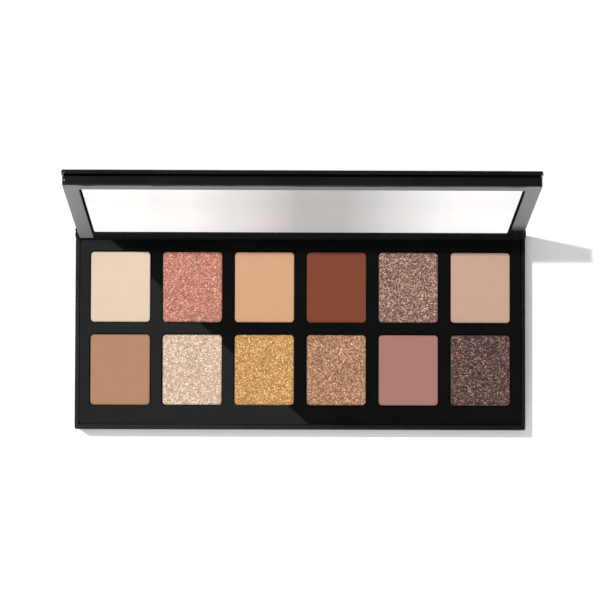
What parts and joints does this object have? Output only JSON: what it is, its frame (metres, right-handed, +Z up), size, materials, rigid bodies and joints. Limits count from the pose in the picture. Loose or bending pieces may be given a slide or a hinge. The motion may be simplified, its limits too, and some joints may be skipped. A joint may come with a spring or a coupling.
{
  "type": "eyeshadow palette",
  "caption": "Slim black pressed-powder palette with a grid of rectangular pans under a hinged lid that carries a full-width mirror and shuts flat by magnets.",
  "frame": {"origin": "centre of the base's underside, at the middle of the base's outline", "axes": "+X to the user's right along the long side, +Y from the front edge towards the hinge, +Z up"},
  "size_m": [0.172, 0.0921, 0.0878],
  "materials": {
    "case_black": "black satin-gloss moulded plastic",
    "tray_black": "black satin moulded plastic",
    "bezel_black": "black gloss moulded plastic",
    "cover_black": "black gloss moulded plastic",
    "mirror_glass": "silvered glass",
    "pan_metal": "drawn thin sheet, satin",
    "pin_steel": "polished wire",
    "magnet": "nickel-plated, hidden",
    "adhesive": "white double-sided foam tape",
    "powder_ivory": "pressed matte powder",
    "powder_pink_shimmer": "pressed shimmer powder",
    "powder_peach": "pressed matte powder",
    "powder_russet": "pressed matte powder",
    "powder_taupe_shimmer": "pressed shimmer powder",
    "powder_rose_beige": "pressed matte powder",
    "powder_tan": "pressed matte powder",
    "powder_champagne_shimmer": "pressed shimmer powder",
    "powder_gold_shimmer": "pressed shimmer powder",
    "powder_bronze_shimmer": "pressed shimmer powder",
    "powder_mauve": "pressed matte powder",
    "powder_cocoa_shimmer": "pressed shimmer powder"
  },
  "bodies": {
    "base": {"base_shell": "case_black", "pan_tray": "tray_black", "pan_pads": "adhesive", "base_magnets": "magnet", "hinge_pin_left": "pin_steel", "hinge_pin_right": "pin_steel", "pan_1": "pan_metal", "pan_2": "pan_metal", "pan_3": "pan_metal", "pan_4": "pan_metal", "pan_5": "pan_metal", "pan_6": "pan_metal", "pan_7": "pan_metal", "pan_8": "pan_metal", "pan_9": "pan_metal", "pan_10": "pan_metal", "pan_11": "pan_metal", "pan_12": "pan_metal", "powder_1": "powder_ivory", "powder_2": "powder_pink_shimmer", "powder_3": "powder_peach", "powder_4": "powder_russet", "powder_5": "powder_taupe_shimmer", "powder_6": "powder_rose_beige", "powder_7": "powder_tan", "powder_8": "powder_champagne_shimmer", "powder_9": "powder_gold_shimmer", "powder_10": "powder_bronze_shimmer", "powder_11": "powder_mauve", "powder_12": "powder_cocoa_shimmer"},
    "lid": {"lid_frame": "bezel_black", "lid_cover": "cover_black", "mirror": "mirror_glass", "mirror_pad": "adhesive", "lid_magnets": "magnet"}
  },
  "joints": [
    {"name": "lid_hinge", "type": "hinge", "parent": "base", "child": "lid", "pos_m": [0, 0.0364, 0.0144], "axis": [1, 0, 0], "range_deg": [0, 100.5]}
  ]
}
